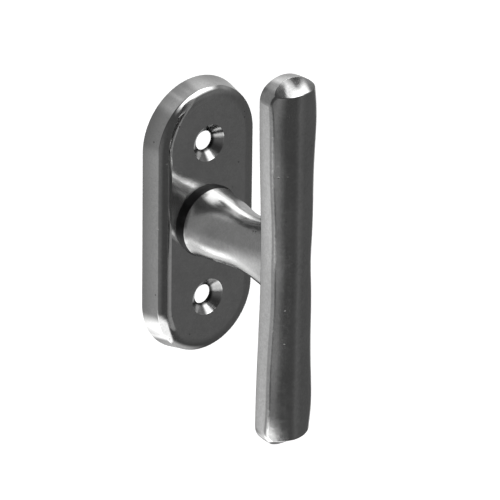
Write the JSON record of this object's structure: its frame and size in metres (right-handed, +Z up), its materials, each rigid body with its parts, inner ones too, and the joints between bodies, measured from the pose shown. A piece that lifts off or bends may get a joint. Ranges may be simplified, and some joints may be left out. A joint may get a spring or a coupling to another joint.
{
  "type": "window handle",
  "caption": "Turning T-bar window handle on an obround rose with countersunk fixing holes, a flanged bush and a square drive spindle",
  "frame": {"origin": "centre of the rose's mounting face, on the spindle's axis", "axes": "+Z up along the rose and the bar at rest, +X to the right, +Y into the window sash, -Y towards the room"},
  "size_m": [0.0326, 0.0564, 0.1008],
  "materials": {
    "polished_nickel": "hand-polished nickel plate with fine grain",
    "black_nylon": "moulded, satin",
    "spring_steel": "oiled, dark",
    "zinc_plated_steel": "bright zinc plate",
    "bright_steel": "cold drawn"
  },
  "bodies": {
    "rose_body": {"rose": "polished_nickel", "bearing_bush": "black_nylon", "detent_spring_left": "spring_steel", "detent_spring_right": "spring_steel", "cover_plate": "zinc_plated_steel", "cover_screws": "zinc_plated_steel"},
    "handle_body": {"t_handle": "polished_nickel", "spindle": "bright_steel", "spindle_pin": "bright_steel", "thrust_washer": "zinc_plated_steel", "index_cam": "zinc_plated_steel", "retaining_ring": "spring_steel"}
  },
  "joints": [
    {"name": "handle_turn", "type": "hinge", "parent": "rose_body", "child": "handle_body", "pos_m": [0, 0, 0], "axis": [0, -1, 0], "continuous": true, "deforming": ["detent_spring_left", "detent_spring_right"]}
  ]
}
